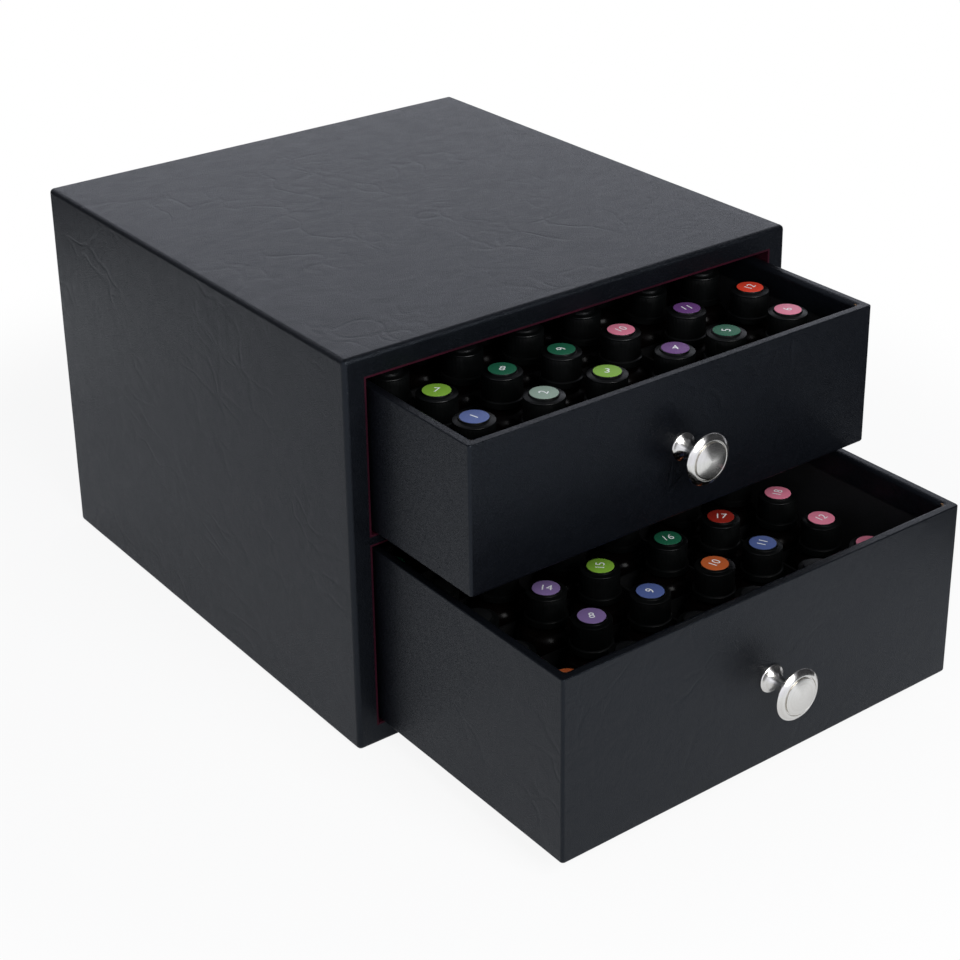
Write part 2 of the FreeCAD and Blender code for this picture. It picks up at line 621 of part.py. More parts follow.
def make_bottle():
    """One glass bottle, hollow and open at its mouth."""
    inner = f"({size('bottle_radius')} - {size('glass_wall')})"
    foot = size("bottle_foot")
    return turned("bottle_shape", [
        ("0", "0"),
        (f"{size('bottle_radius')} - {foot}", "0"),
        (size("bottle_radius"), foot, QUARTER_TURN),
        (size("bottle_radius"), size("bottle_shoulder")),
        (NECK, SHOULDER_TOP, size("shoulder_turn")),
        (NECK, LIP),
        (size("mouth_radius"), LIP),
        (size("mouth_radius"), SHOULDER_TOP),
        (inner, f"{size('bottle_shoulder')} - {size('glass_wall')} / 2"),
        (inner, size("glass_wall")),
        ("0", size("glass_wall")),
    ])


def make_plug():
    """The dropper plug in the mouth of a bottle."""
    radius = f"({size('mouth_radius')} - {size('plug_fit')})"
    flange_radius = total(size("mouth_radius"), size("plug_flange_lip"))
    flange_top = total(LIP, size("plug_flange"))
    return turned("plug_shape", [
        ("0", f"{LIP} - {size('plug_depth')}"),
        (radius, f"{LIP} - {size('plug_depth')}"),
        (radius, LIP),
        (flange_radius, LIP),
        (flange_radius, flange_top),
        (size("spout_radius"), flange_top),
        (size("spout_radius"), SPOUT_TOP),
        ("0", SPOUT_TOP),
    ])


def make_cap():
    """A screw cap with a raised face and a ring under it, hollow over the neck and the plug."""
    ring_top = total(CAP_BOTTOM, size("cap_ring_height"))
    return turned("cap_shape", [
        (CAP_BORE, CAP_BOTTOM),
        (CAP_RING, CAP_BOTTOM),
        (CAP_RING, ring_top),
        (CAP_RADIUS, ring_top),
        (f"({CAP_RADIUS} - {size('cap_taper')})", f"({CAP_SUMMIT} - {size('cap_shoulder_drop')})"),
        (CAP_BORE, f"({CAP_SUMMIT} - {size('cap_brow_drop')})", size("cap_shoulder_turn")),
        (CAP_FACE, CAP_SUMMIT),
        ("0", CAP_SUMMIT),
        ("0", CAP_CEILING),
        (CAP_BORE, CAP_CEILING),
    ])


def make_label():
    """The round sticker on a cap."""
    return turned("label_shape", [
        ("0", CAP_SUMMIT),
        (size("label_radius"), CAP_SUMMIT),
        (size("label_radius"), LABEL_TOP),
        ("0", LABEL_TOP),
    ])


def standing_places(bay):
    """Where the bottles of a drawer stand, as points on its floor."""
    across = number(COLUMN_PITCH) / 2 - number(size("divider_thickness")) / 2
    play = across - number(size("bottle_radius")) - number(size("bottle_play"))
    places = []
    for row in range(int(number(ROWS) - number(size("empty_rows")))):
        shares = STANDING[bay][row % len(STANDING[bay])]
        for column in range(int(number(COLUMNS))):
            share = shares[column % len(shares)]
            places.append(Vector(column_x(column) + share * play, row_y(row), 0))
    return places


def make_bottle_group(bay, shapes):
    """The bottles of one drawer with their plugs, caps and stickers."""
    places = standing_places(bay)
    for name, shape in shapes.items():
        copies = [shape.translated(point) for point in places]
        feature(f"{bay}_{name}", Part.makeCompound(copies), bay)


make_case()
for bay in ("upper", "lower"):
    make_knob(bay, make_drawer_shell(bay))
    make_dividers(bay)

single_shapes = {
    "bottles": make_bottle(),
    "orifice_plugs": make_plug(),
    "caps": make_cap(),
    "cap_labels": make_label(),
}
doc.recompute()
for bay in ("upper", "lower"):
    make_bottle_group(bay, {name: body.Shape for name, body in single_shapes.items()})
doc.recompute()

CASE_PIECES = [
    "case_top_board", "case_bottom_board", "case_left_board", "case_right_board",
    "case_back_board", "case_shelf_board", "case_wrap", "case_back_sheet", "case_base_sheet",
    "upper_bay_lining", "lower_bay_lining",
]
DRAWER_PIECES = [
    "drawer_front_board", "drawer_back_board", "drawer_left_board", "drawer_right_board",
    "drawer_bottom_board", "drawer_wrap", "drawer_base_sheet", "drawer_floor_lining",
    "long_dividers", "cross_dividers", "knob", "knob_screw", "knob_washer",
    "bottles", "orifice_plugs", "caps", "cap_labels",
]
nodes = CASE_PIECES + [f"{bay}_{piece}" for bay in ("upper", "lower") for piece in DRAWER_PIECES]

faults = [item.Name for item in doc.Objects if {"Invalid", "Error"} & set(item.State)]
for node in nodes:
    shape = doc.getObject(node).Shape
    if shape.isNull() or not shape.isValid() or not shape.Solids:
        faults.append(node)
if faults:
    raise RuntimeError("these pieces failed: " + ", ".join(sorted(set(faults))))

os.makedirs("parts", exist_ok=True)
for node in nodes:
    piece = doc.getObject(node)
    piece.Label = node
    piece.Shape.exportStep(f"parts/{node}.step")
    print(f"{node}: {len(piece.Shape.Solids)} solids, {piece.Shape.Volume:.1f} mm3")
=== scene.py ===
import math
import random

import bmesh
import bpy
from mathutils import Matrix, Vector, noise


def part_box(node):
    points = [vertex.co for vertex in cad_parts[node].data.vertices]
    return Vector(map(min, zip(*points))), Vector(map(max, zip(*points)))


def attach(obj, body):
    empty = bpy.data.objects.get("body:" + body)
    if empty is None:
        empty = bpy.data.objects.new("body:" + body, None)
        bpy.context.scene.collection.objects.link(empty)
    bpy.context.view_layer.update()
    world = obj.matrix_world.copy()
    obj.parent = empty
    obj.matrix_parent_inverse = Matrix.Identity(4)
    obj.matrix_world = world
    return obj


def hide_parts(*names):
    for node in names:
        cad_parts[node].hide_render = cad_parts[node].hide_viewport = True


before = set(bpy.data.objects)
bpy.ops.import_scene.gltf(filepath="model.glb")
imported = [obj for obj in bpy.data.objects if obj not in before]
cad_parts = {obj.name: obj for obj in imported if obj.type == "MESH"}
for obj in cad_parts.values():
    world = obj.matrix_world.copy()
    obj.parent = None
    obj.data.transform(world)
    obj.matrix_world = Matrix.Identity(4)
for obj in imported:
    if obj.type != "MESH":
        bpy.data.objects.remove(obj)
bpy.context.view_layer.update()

# Sizes of the box, in metres
MM = 0.001
BAYS = ("upper", "lower")
CASE_ROUNDING = 2.5 * MM
SKIN = 0.5 * MM
DRAWER_WALL = 5.5 * MM
DRAWER_ROUNDING = 1.5 * MM
DRAWER_CORNER = 2.2 * MM
RIM_INSIDE = 2.5 * MM
RIM_OUTSIDE = 0.6 * MM
CORNER_STEPS = 5
CASE_EDGE_STEPS = 5
RIM_STEPS = 7
EDGE_STEPS = 4
SHARP_ANGLE = math.radians(32)
TURN_IN = 14 * MM
PAPER = 0.2 * MM
WAVE_STEP = 12 * MM
WAVE_HEIGHT = 0.09 * MM
WAVES_PER_METRE = 38
NEAR = 0.02 * MM

# Sizes of the caps and their stickers, with z = 0 at the face of a cap
CAP_SIDES = 96
SIDES_PER_RIB = 3
RIB_TOP = -2.4 * MM
RIB_BOTTOM = -12.4 * MM
RIB_ROOT = 9.5 * MM
RIB_DEPTH = 0.3 * MM
RIB_FADE = 0.35
RIB_HEAD = -3.5 * MM
STICKER_SIDES = 48
STICKER_THICKNESS = 0.15 * MM
STICKER_SHIFT = 0.12 * MM
STICKER_TURN = math.radians(75)
NUMBER_HEIGHT = 6.4 * MM
INK_THICKNESS = 0.02 * MM

# Outlines of turned shapes from the face down, as radius and height in millimetres
CAP_OUTLINE = (
    (0, 0), (6.78, 0), (6.98, -0.07), (7.06, -0.25), (7.1, -0.75), (7.3, -0.93),
    (9.3, -1.2), (9.6, -1.34), (9.7, -1.58), (9.64, -1.9), (9.5, -2.1), (9.5, -2.3),
    (9.5, -3), (9.53, -5), (9.66, -12.2), (9.66, -12.6), (10.35, -12.8), (10.6, -13.05),
    (10.6, -15.8), (10.4, -16), (8.6, -16), (8.6, -2.2), (0, -2.2))
STICKER_OUTLINE = ((0, 0.15), (6.5, 0.15), (6.6, 0.13), (6.63, 0.08), (6.63, 0), (0, 0))
KNOB_SIDES = 96
KNOB_OUTLINE = (
    (0, 19.5), (0.4, 19.48), (8.85, 19.14), (9, 19.06), (9.05, 18.85), (9.07, 18.15),
    (9.55, 18.15), (9.6, 18.42), (9.72, 18.6), (9.9, 18.66), (10.2, 18.6), (10.8, 18.36),
    (11.45, 17.95), (12.05, 17.48), (12.48, 17.1), (12.72, 16.85), (12.8, 16.62), (12.76, 16.4),
    (12.5, 16.12), (11.4, 15.5), (10, 14.8), (8.4, 14.05), (6.8, 13.15), (5.4, 12.15), (4.3, 11.15),
    (3.5, 10.2), (3.05, 9.3), (2.9, 8.4), (2.9, 7.4), (2.98, 6.2), (3.15, 5.2), (3.45, 4.3),
    (3.85, 3.5), (4.45, 2.65), (5.2, 1.85), (6, 1.25), (6.55, 0.95), (6.85, 0.75), (7, 0.5),
    (7, 0.15), (6.85, 0), (0, 0))

# The camera, found from the corners of the box in the photograph
PHOTO_SIDE = 960
FOCAL_PIXELS = 2025.6
MIDDLE_ROW = 300
SENSOR = 36
CAMERA_AZIMUTH = math.radians(-36.681)
CAMERA_ELEVATION = math.radians(22.781)
CAMERA_ROLL = math.radians(-0.778)
CAMERA_TARGET = Vector((-59.94 * MM, -145 * MM, 213.52 * MM))
CAMERA_DISTANCE = 922.5 * MM
CAMERA_NEAR = 0.01
CAMERA_FAR = 50

# The white floor and the dark places of the studio, as the leather and the knobs mirror them
FLOOR_RADIUS = 0.6
FLOOR_SIDES = 96
FLOOR_DROP = 0.2 * MM
FLOOR_TONE = 0.9
FLOOR_ROUGHNESS = 0.9
WHITE_WHERE_SEEN = 0.9
WHITE_WHERE_MIRRORED = 0.26
SHADOW_FADES_FROM = 0.31
SHADOW_FADES_TO = 0.5
WHITE_ENDS = 0.235
DARK_STARTS = 0.255
DARK_SHARE = 0.96
MIRRORED_TINT = (0.92, 0.95, 1, 1)
STUDIO_TINT = (0.88, 0.9, 1, 1)
DARK_CORNER = Vector((0.83, -0.52, 0.15)).normalized()
DIM_CORNER = Vector((-0.5, 0.82, -0.05)).normalized()

# How the studio's light changes: between two values, from one level to another
DARK_CORNER_CHANGE = (0.74, 0.84, 1, 0.04)
DIM_CORNER_CHANGE = (0.74, 0.93, 1, 0.08)
CEILING_CHANGE = (0.3, 0.8, 1.08, 0.14)
HORIZON_CHANGE = (0, 0.28, 1, 1.22)

# The soft lamp in front, in metres and watts
LAMP_PLACE = Vector((-0.1, -1.35, 0.9))
LAMP_TARGET = Vector((0, -0.15, 0.1))
LAMP_SIDE = 0.8
LAMP_POWER = 17


# Colours and node trees

def colour(code):
    """A colour written as #rrggbb, in the render's own linear values."""
    levels = [int(code[place:place + 2], 16) / 255 for place in (1, 3, 5)]
    linear = [x / 12.92 if x <= 0.04045 else ((x + 0.055) / 1.055) ** 2.4 for x in levels]
    return (*linear, 1)


def add(tree, kind, inputs=None, **settings):
    """A node with its settings, its inputs linked to sockets or set to plain values."""
    node = tree.nodes.new(kind)
    for name, value in settings.items():
        setattr(node, name, value)
    for name, value in (inputs or {}).items():
        if isinstance(value, bpy.types.NodeSocket):
            tree.links.new(value, node.inputs[name])
        else:
            node.inputs[name].default_value = value
    return node


def mapped(tree, value, low, high, to_low, to_high):
    """A value taken smoothly from one range to another."""
    return add(tree, "ShaderNodeMapRange", {
        "Value": value, "From Min": low, "From Max": high, "To Min": to_low, "To Max": to_high,
    }, interpolation_type="SMOOTHSTEP").outputs["Result"]


def noise_at(tree, place, rate, detail=2, roughness=0.5):
    """A noise node at a place, with so many features to the metre."""
    return add(tree, "ShaderNodeTexNoise", {
        "Vector": place, "Scale": rate, "Detail": detail, "Roughness": roughness,
    })


def warped(tree, place, rate, reach):
    """A place pushed about by a noise, by up to half the reach each way."""
    push = noise_at(tree, place, rate).outputs["Color"]
    return add(tree, "ShaderNodeVectorMath", {0: push, 1: (reach,) * 3, 2: place},
               operation="MULTIPLY_ADD").outputs[0]


def combined(tree, operation, first, second):
    """Two values combined."""
    return add(tree, "ShaderNodeMath", {0: first, 1: second}, operation=operation).outputs[0]


def node_group(name, inputs, outputs):
    """An empty shader group with float inputs and outputs, and its two end nodes."""
    group = bpy.data.node_groups.new(name, "ShaderNodeTree")
    for socket, value in inputs.items():
        made = group.interface.new_socket(socket, in_out="INPUT", socket_type="NodeSocketFloat")
        made.default_value = value
    for socket in outputs:
        group.interface.new_socket(socket, in_out="OUTPUT", socket_type="NodeSocketFloat")
    return group, group.nodes.new("NodeGroupInput"), group.nodes.new("NodeGroupOutput")


def leather_surface():
    """Pressed grain, wandering creases and cloudy unevenness, at real size."""
    tree, start, end = node_group(
        "leather surface",
        {"Grains per metre": 1150, "Creases per metre": 55, "Crease depth": 1},
        ("Height", "Cloud", "Crease"))
    place = add(tree, "ShaderNodeTexCoord").outputs["Object"]
    grain = add(tree, "ShaderNodeTexVoronoi", {
        "Vector": warped(tree, place, 320, 0.0011), "Scale": start.outputs["Grains per metre"],
    }, feature="DISTANCE_TO_EDGE").outputs["Distance"]
    grain = mapped(tree, grain, 0, 0.2, 0, 1)
    flow = add(tree, "ShaderNodeVectorMath", {
        0: warped(tree, place, 24, 0.05), 1: (0.8, 0.45, 1.0),
    }, operation="MULTIPLY").outputs[0]
    crease = add(tree, "ShaderNodeTexVoronoi", {
        "Vector": flow, "Scale": start.outputs["Creases per metre"],
    }, feature="DISTANCE_TO_EDGE").outputs["Distance"]
    crease = mapped(tree, crease, 0, 0.1, 1, 0)
    where = mapped(tree, noise_at(tree, place, 16).outputs["Fac"], 0.42, 0.66, 0, 1)
    crease = combined(tree, "MULTIPLY", crease, where)
    streaked = add(tree, "ShaderNodeVectorMath", {
        0: warped(tree, place, 60, 0.012), 1: (0.5, 1, 0.8),
    }, operation="MULTIPLY").outputs[0]
    cloud = noise_at(tree, streaked, 150, 5, 0.62).outputs["Fac"]
    broad = noise_at(tree, place, 42, 2).outputs["Fac"]
    deep = combined(tree, "MULTIPLY", crease, start.outputs["Crease depth"])
    uneven = combined(tree, "ADD", combined(tree, "MULTIPLY", cloud, 1.9),
                      combined(tree, "MULTIPLY", broad, 3))
    height = combined(tree, "SUBTRACT", combined(tree, "ADD", grain, uneven), deep)
    tree.links.new(height, end.inputs["Height"])
    tree.links.new(cloud, end.inputs["Cloud"])
    tree.links.new(crease, end.inputs["Crease"])
    return tree


def fibre_surface():
    """Short fibres laid over each other, as in paper, card and board."""
    tree, start, end = node_group("fibre surface", {"Fibres per metre": 900}, ("Height", "Tone"))
    place = add(tree, "ShaderNodeTexCoord").outputs["Object"]
    layers = []
    for stretch in ((1, 0.18, 0.6), (0.2, 1, 0.4), (0.5, 0.3, 1)):
        along = add(tree, "ShaderNodeVectorMath", {0: warped(tree, place, 90, 0.006), 1: stretch},
                    operation="MULTIPLY").outputs[0]
        layer = noise_at(tree, along, start.outputs["Fibres per metre"], 3, 0.6)
        layers.append(layer.outputs["Fac"])
    height = combined(tree, "MAXIMUM", combined(tree, "MAXIMUM", layers[0], layers[1]), layers[2])
    tree.links.new(height, end.inputs["Height"])
    tone = mapped(tree, noise_at(tree, place, 45, 4).outputs["Fac"], 0.3, 0.7, 0, 1)
    tree.links.new(tone, end.inputs["Tone"])
    return tree


def handled_surface():
    """Faint smears and small marks, as on things that are picked up."""
    tree, start, end = node_group("handled surface", {"Marks per metre": 300}, ("Height", "Smear"))
    place = add(tree, "ShaderNodeTexCoord").outputs["Object"]
    smear = noise_at(tree, warped(tree, place, 80, 0.02), 70, 4).outputs["Fac"]
    fine = noise_at(tree, place, start.outputs["Marks per metre"], 4, 0.7).outputs["Fac"]
    tree.links.new(fine, end.inputs["Height"])
    tree.links.new(mapped(tree, smear, 0.35, 0.65, 0, 1), end.inputs["Smear"])
    return tree


def turned_surface():
    """Fine rings round a knob's middle, left by turning and brushing."""
    tree, start, end = node_group(
        "turned surface", {"Middle height": 0, "Rings per metre": 9000}, ("Height", "Band"))
    place = add(tree, "ShaderNodeTexCoord").outputs["Object"]
    parts = add(tree, "ShaderNodeSeparateXYZ", {"Vector": place})
    rise = combined(tree, "SUBTRACT", parts.outputs["Z"], start.outputs["Middle height"])
    across = add(tree, "ShaderNodeCombineXYZ", {"X": parts.outputs["X"], "Z": rise}).outputs[0]
    radius = add(tree, "ShaderNodeVectorMath", {0: across}, operation="LENGTH").outputs["Value"]
    along = combined(tree, "MULTIPLY", parts.outputs["Y"], 0.6)
    path = combined(tree, "ADD", radius, along)
    rings = add(tree, "ShaderNodeTexNoise", {
        "W": path, "Scale": start.outputs["Rings per metre"], "Detail": 3,
    }, noise_dimensions="1D").outputs["Fac"]
    bands = add(tree, "ShaderNodeTexNoise", {"W": path, "Scale": 700, "Detail": 2},
                noise_dimensions="1D").outputs["Fac"]
    tree.links.new(rings, end.inputs["Height"])
    tree.links.new(bands, end.inputs["Band"])
    return tree


LEATHER_SURFACE = leather_surface()
FIBRE_SURFACE = fibre_surface()
HANDLED_SURFACE = handled_surface()
TURNED_SURFACE = turned_surface()


# Materials

PAPER_UNEVENNESS = 0.08
FADING = 0.12


def new_material(name, **plain):
    """A material with a Principled shader, and its plain values."""
    made = bpy.data.materials.new(name)
    made.use_nodes = True
    tree = made.node_tree
    shader = tree.nodes["Principled BSDF"]
    for socket, value in plain.items():
        shader.inputs[socket.replace("_", " ")].default_value = value
    return made, tree, shader


def use_group(tree, group, **values):
    """A group node in a material, with its own values."""
    node = add(tree, "ShaderNodeGroup", node_tree=group)
    for socket, value in values.items():
        node.inputs[socket.replace("_", " ")].default_value = value
    return node


def between(tree, factor, first, second):
    """Two colours mixed by a factor."""
    mix = add(tree, "ShaderNodeMix", data_type="RGBA")
    tree.links.new(factor, mix.inputs["Factor"])
    mix.inputs["A"].default_value = first
    mix.inputs["B"].default_value = second
    return mix.outputs["Result"]


def set_tone(tree, shader, factor, dark, light):
    """The shader's colour between a dark and a light one."""
    tree.links.new(between(tree, factor, dark, light), shader.inputs["Base Color"])


def set_gloss(tree, shader, value, low, high, smooth, rough):
    """The shader's roughness, following a value from low to high."""
    gloss = mapped(tree, value, low, high, smooth, rough)
    tree.links.new(gloss, shader.inputs["Roughness"])


def bump(tree, shader, height, distance, strength):
    """Relief of a real depth, from a height between 0 and 1."""
    node = add(tree, "ShaderNodeBump", {
        "Height": height, "Distance": distance, "Strength": strength,
    })
    tree.links.new(node.outputs["Normal"], shader.inputs["Normal"])


def leather_material(name, grains, creases):
    """Black pressed leather-look skin with a soft gloss."""
    made, tree, shader = new_material(
        name, Specular_IOR_Level=0.225, Specular_Tint=(0.76, 0.87, 1.0, 1))
    surface = use_group(tree, LEATHER_SURFACE, Grains_per_metre=grains,
                        Creases_per_metre=creases, Crease_depth=1.6)
    set_tone(tree, shader, surface.outputs["Cloud"], colour("#06070a"), colour("#0a0c10"))
    set_gloss(tree, shader, surface.outputs["Cloud"], 0.25, 0.75, 0.28, 0.34)
    bump(tree, shader, surface.outputs["Height"], distance=0.09 * MM, strength=0.55)
    return made


def paper_material(name, dark, light, fibres, roughness, depth, shine=0.3):
    """Paper, card or board with its fibres."""
    made, tree, shader = new_material(name, Specular_IOR_Level=shine)
    surface = use_group(tree, FIBRE_SURFACE, Fibres_per_metre=fibres)
    set_tone(tree, shader, surface.outputs["Tone"], dark, light)
    set_gloss(tree, shader, surface.outputs["Height"], 0.4, 0.8,
              roughness - PAPER_UNEVENNESS, roughness + PAPER_UNEVENNESS)
    bump(tree, shader, surface.outputs["Height"], distance=depth, strength=0.6)
    return made


def nickel_material(name, middle_height):
    """Satin nickel, turned about a level axis at a height."""
    made, tree, shader = new_material(name, Metallic=1, Anisotropic=0.8, Anisotropic_Rotation=0.25)
    rings = use_group(tree, TURNED_SURFACE, Middle_height=middle_height)
    round_the_axis = add(tree, "ShaderNodeTangent", direction_type="RADIAL", axis="Y")
    tree.links.new(round_the_axis.outputs["Tangent"], shader.inputs["Tangent"])
    hands = use_group(tree, HANDLED_SURFACE)
    set_tone(tree, shader, rings.outputs["Band"], colour("#d5d2cb"), colour("#e3e1dc"))
    set_gloss(tree, shader, hands.outputs["Smear"], 0, 1, 0.19, 0.24)
    bump(tree, shader, rings.outputs["Height"], distance=0.004 * MM, strength=0.5)
    return made


def steel_material():
    """Bright zinc-plated steel of the screws and washers."""
    made, tree, shader = new_material("screw steel", Metallic=1)
    hands = use_group(tree, HANDLED_SURFACE, Marks_per_metre=1500)
    set_tone(tree, shader, hands.outputs["Smear"], colour("#a9adb0"), colour("#c6c8c9"))
    set_gloss(tree, shader, hands.outputs["Height"], 0.3, 0.7, 0.22, 0.38)
    bump(tree, shader, hands.outputs["Height"], distance=0.01 * MM, strength=0.4)
    return made


def plastic_material(name, dark, light, smooth, rough):
    """Moulded plastic with a faint bloom of handling."""
    made, tree, shader = new_material(name, Specular_IOR_Level=0.2)
    hands = use_group(tree, HANDLED_SURFACE, Marks_per_metre=2200)
    set_tone(tree, shader, hands.outputs["Smear"], dark, light)
    set_gloss(tree, shader, hands.outputs["Smear"], 0, 1, smooth, rough)
    bump(tree, shader, hands.outputs["Height"], distance=0.02 * MM, strength=0.35)
    return made


def glass_material():
    """Very dark brown bottle glass."""
    made, tree, shader = new_material("dark glass", Specular_IOR_Level=0.06)
    hands = use_group(tree, HANDLED_SURFACE, Marks_per_metre=150)
    set_tone(tree, shader, hands.outputs["Smear"], colour("#050303"), colour("#080504"))
    set_gloss(tree, shader, hands.outputs["Smear"], 0, 1, 0.2, 0.3)
    bump(tree, shader, hands.outputs["Height"], distance=0.05 * MM, strength=0.3)
    return made


def sticker_material():
    """Coated paper in the colour that each sticker's faces carry."""
    made, tree, shader = new_material("sticker paper", Specular_IOR_Level=0.35)
    surface = use_group(tree, FIBRE_SURFACE, Fibres_per_metre=2600)
    printed = add(tree, "ShaderNodeAttribute", attribute_name="printed colour").outputs["Color"]
    faded = add(tree, "ShaderNodeMix", {"Factor": FADING}, data_type="RGBA")
    tree.links.new(printed, faded.inputs["A"])
    tree.links.new(between(tree, surface.outputs["Tone"], colour("#b0b0b0"), colour("#ffffff")),
                   faded.inputs["B"])
    faded.blend_type = "MULTIPLY"
    tree.links.new(faded.outputs["Result"], shader.inputs["Base Color"])
    set_gloss(tree, shader, surface.outputs["Height"], 0.4, 0.8, 0.38, 0.5)
    bump(tree, shader, surface.outputs["Height"], distance=0.01 * MM, strength=0.3)
    return made


LEATHER = leather_material("black leather", grains=1150, creases=55)
WINE_PAPER = paper_material("wine lining", colour("#220510"), colour("#2f0816"),
                            1400, 0.62, 0.03 * MM, 0.1)
BLACK_PAPER = paper_material("black paper", colour("#0b0b0d"), colour("#121214"),
                             1600, 0.7, 0.03 * MM)
BLACK_CARD = paper_material("divider card", colour("#060607"), colour("#0a0a0b"),
                            1000, 0.7, 0.04 * MM, 0.15)
FIBREBOARD = paper_material("fibreboard", colour("#7a5c3e"), colour("#96744f"),
                            500, 0.8, 0.08 * MM)
SCREW_STEEL = steel_material()
DARK_GLASS = glass_material()
PLUG_PLASTIC = plastic_material("plug plastic", colour("#c9c7bf"), colour("#dad8d1"), 0.35, 0.5)
CAP_PLASTIC = plastic_material("cap plastic", colour("#050606"), colour("#080909"), 0.28, 0.38)
STICKER_PAPER = sticker_material()
WHITE_INK = paper_material("white ink", colour("#e2e6e6"), colour("#f0f2f1"),
                           2600, 0.5, 0.01 * MM)


# Shaping

def block(low, high):
    """A new mesh with one box between two corners."""
    bm = bmesh.new()
    made = bmesh.ops.create_cube(bm, size=1)["verts"]
    bmesh.ops.scale(bm, vec=high - low, verts=made)
    bmesh.ops.translate(bm, vec=(low + high) / 2, verts=made)
    return bm


def round_off(bm, edges, radius, segments):
    """Edges rounded off."""
    bmesh.ops.bevel(bm, geom=edges, offset=radius, offset_type="OFFSET", affect="EDGES",
                    segments=segments, profile=0.5, material=-1, clamp_overlap=True)


def slice_across(bm, axis, place):
    """Every face cut where it crosses a plane, with nothing taken away."""
    normal = Vector((0, 0, 0))
    normal[axis] = 1
    everything = bm.verts[:] + bm.edges[:] + bm.faces[:]
    bmesh.ops.bisect_plane(bm, geom=everything, dist=NEAR / 10,
                           plane_co=normal * place, plane_no=normal)


def slice_finely(bm, low, high):
    """The flat faces of a box cut into squares, so that they can be uneven."""
    for axis in range(3):
        count = round((high[axis] - low[axis]) / WAVE_STEP)
        for step in range(1, count):
            slice_across(bm, axis, low[axis] + (high[axis] - low[axis]) * step / count)


def within(point, low, high):
    """Whether a point is in a box or on its faces."""
    return all(low[axis] - NEAR < point[axis] < high[axis] + NEAR for axis in range(3))


def open_up(bm, low, high):
    """The faces in a box taken away, with clean edges round the hole."""
    for axis in range(3):
        for side in (low, high):
            slice_across(bm, axis, side[axis])
    gone = [face for face in bm.faces if within(face.calc_center_median(), low, high)]
    bmesh.ops.delete(bm, geom=gone, context="FACES")


def make_uneven(bm):
    """Skin that follows its board with small waves."""
    bm.normal_update()
    for vertex in bm.verts:
        wave = noise.noise(vertex.co * WAVES_PER_METRE)
        vertex.co += vertex.normal * wave * WAVE_HEIGHT


def thicken(bm, thickness):
    """An open surface made a closed skin that grows inwards."""
    bmesh.ops.recalc_face_normals(bm, faces=bm.faces[:])
    bmesh.ops.solidify(bm, geom=bm.faces[:], thickness=thickness)


def make_piece(name, bm, material, body, replaced=()):
    """A finished piece of the box, riding on its body."""
    mesh = bpy.data.meshes.new(name)
    bm.to_mesh(mesh)
    bm.free()
    mesh.materials.append(material)
    mesh.shade_smooth()
    mesh.set_sharp_from_angle(angle=SHARP_ANGLE)
    piece = bpy.data.objects.new(name, mesh)
    bpy.context.scene.collection.objects.link(piece)
    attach(piece, body)
    if replaced:
        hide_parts(*replaced)
    return piece


def shade_flats_flat(piece):
    """Flat faces keep their own normals, and only the roundings shade round."""
    even = piece.modifiers.new("even shading", "WEIGHTED_NORMAL")
    even.keep_sharp = True
    even.weight = 100


def islands(node):
    """The lowest and highest corner of each loose solid in a node, from the front row back."""
    bm = bmesh.new()
    bm.from_mesh(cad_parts[node].data)
    bmesh.ops.remove_doubles(bm, verts=bm.verts[:], dist=NEAR / 10)
    waiting = set(bm.verts)
    found = []
    while waiting:
        front = [waiting.pop()]
        points = []
        while front:
            vertex = front.pop()
            points.append(vertex.co.copy())
            for edge in vertex.link_edges:
                other = edge.other_vert(vertex)
                if other in waiting:
                    waiting.remove(other)
                    front.append(other)
        low = Vector([min(point[axis] for point in points) for axis in range(3)])
        high = Vector([max(point[axis] for point in points) for axis in range(3)])
        found.append((low, high))
    bm.free()
    return sorted(found, key=lambda corners: (round(corners[0].y / MM), corners[0].x))


# The case

def make_case_leather():
    """The skin round the case, with its front frame and the holes for sheets and bays."""
    low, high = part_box("case_wrap")
    bm = block(low, high)
    round_off(bm, bm.edges[:], CASE_ROUNDING, CASE_EDGE_STEPS)
    slice_finely(bm, low, high)
    for node in ("upper_bay_lining", "lower_bay_lining", "case_back_sheet", "case_base_sheet"):
        open_up(bm, *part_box(node))
    make_uneven(bm)
    thicken(bm, SKIN)
    piece = make_piece("case_leather", bm, LEATHER, "case", ["case_wrap"])
    shade_flats_flat(piece)


# The drawers

def outline_ring(bm, low, high, inset, height, corner):
    """A level ring of points inside the outline of a box, with rounded corners."""
    ring = []
    for quarter in range(4):
        reach = inset + corner
        middle_x = high.x - reach if quarter in (0, 3) else low.x + reach
        middle_y = high.y - reach if quarter < 2 else low.y + reach
        for step in range(CORNER_STEPS + 1):
            turn = (quarter + step / CORNER_STEPS) * math.pi / 2
            ring.append(bm.verts.new((middle_x + corner * math.cos(turn),
                                      middle_y + corner * math.sin(turn), height)))
    return ring


def arc(middle, radius, first, last, steps):
    """Points of an arc, from one angle in degrees to another."""
    turns = [math.radians(first + (last - first) * step / steps) for step in range(steps + 1)]
    return [(middle[0] + radius * math.cos(turn), middle[1] + radius * math.sin(turn))
            for turn in turns]


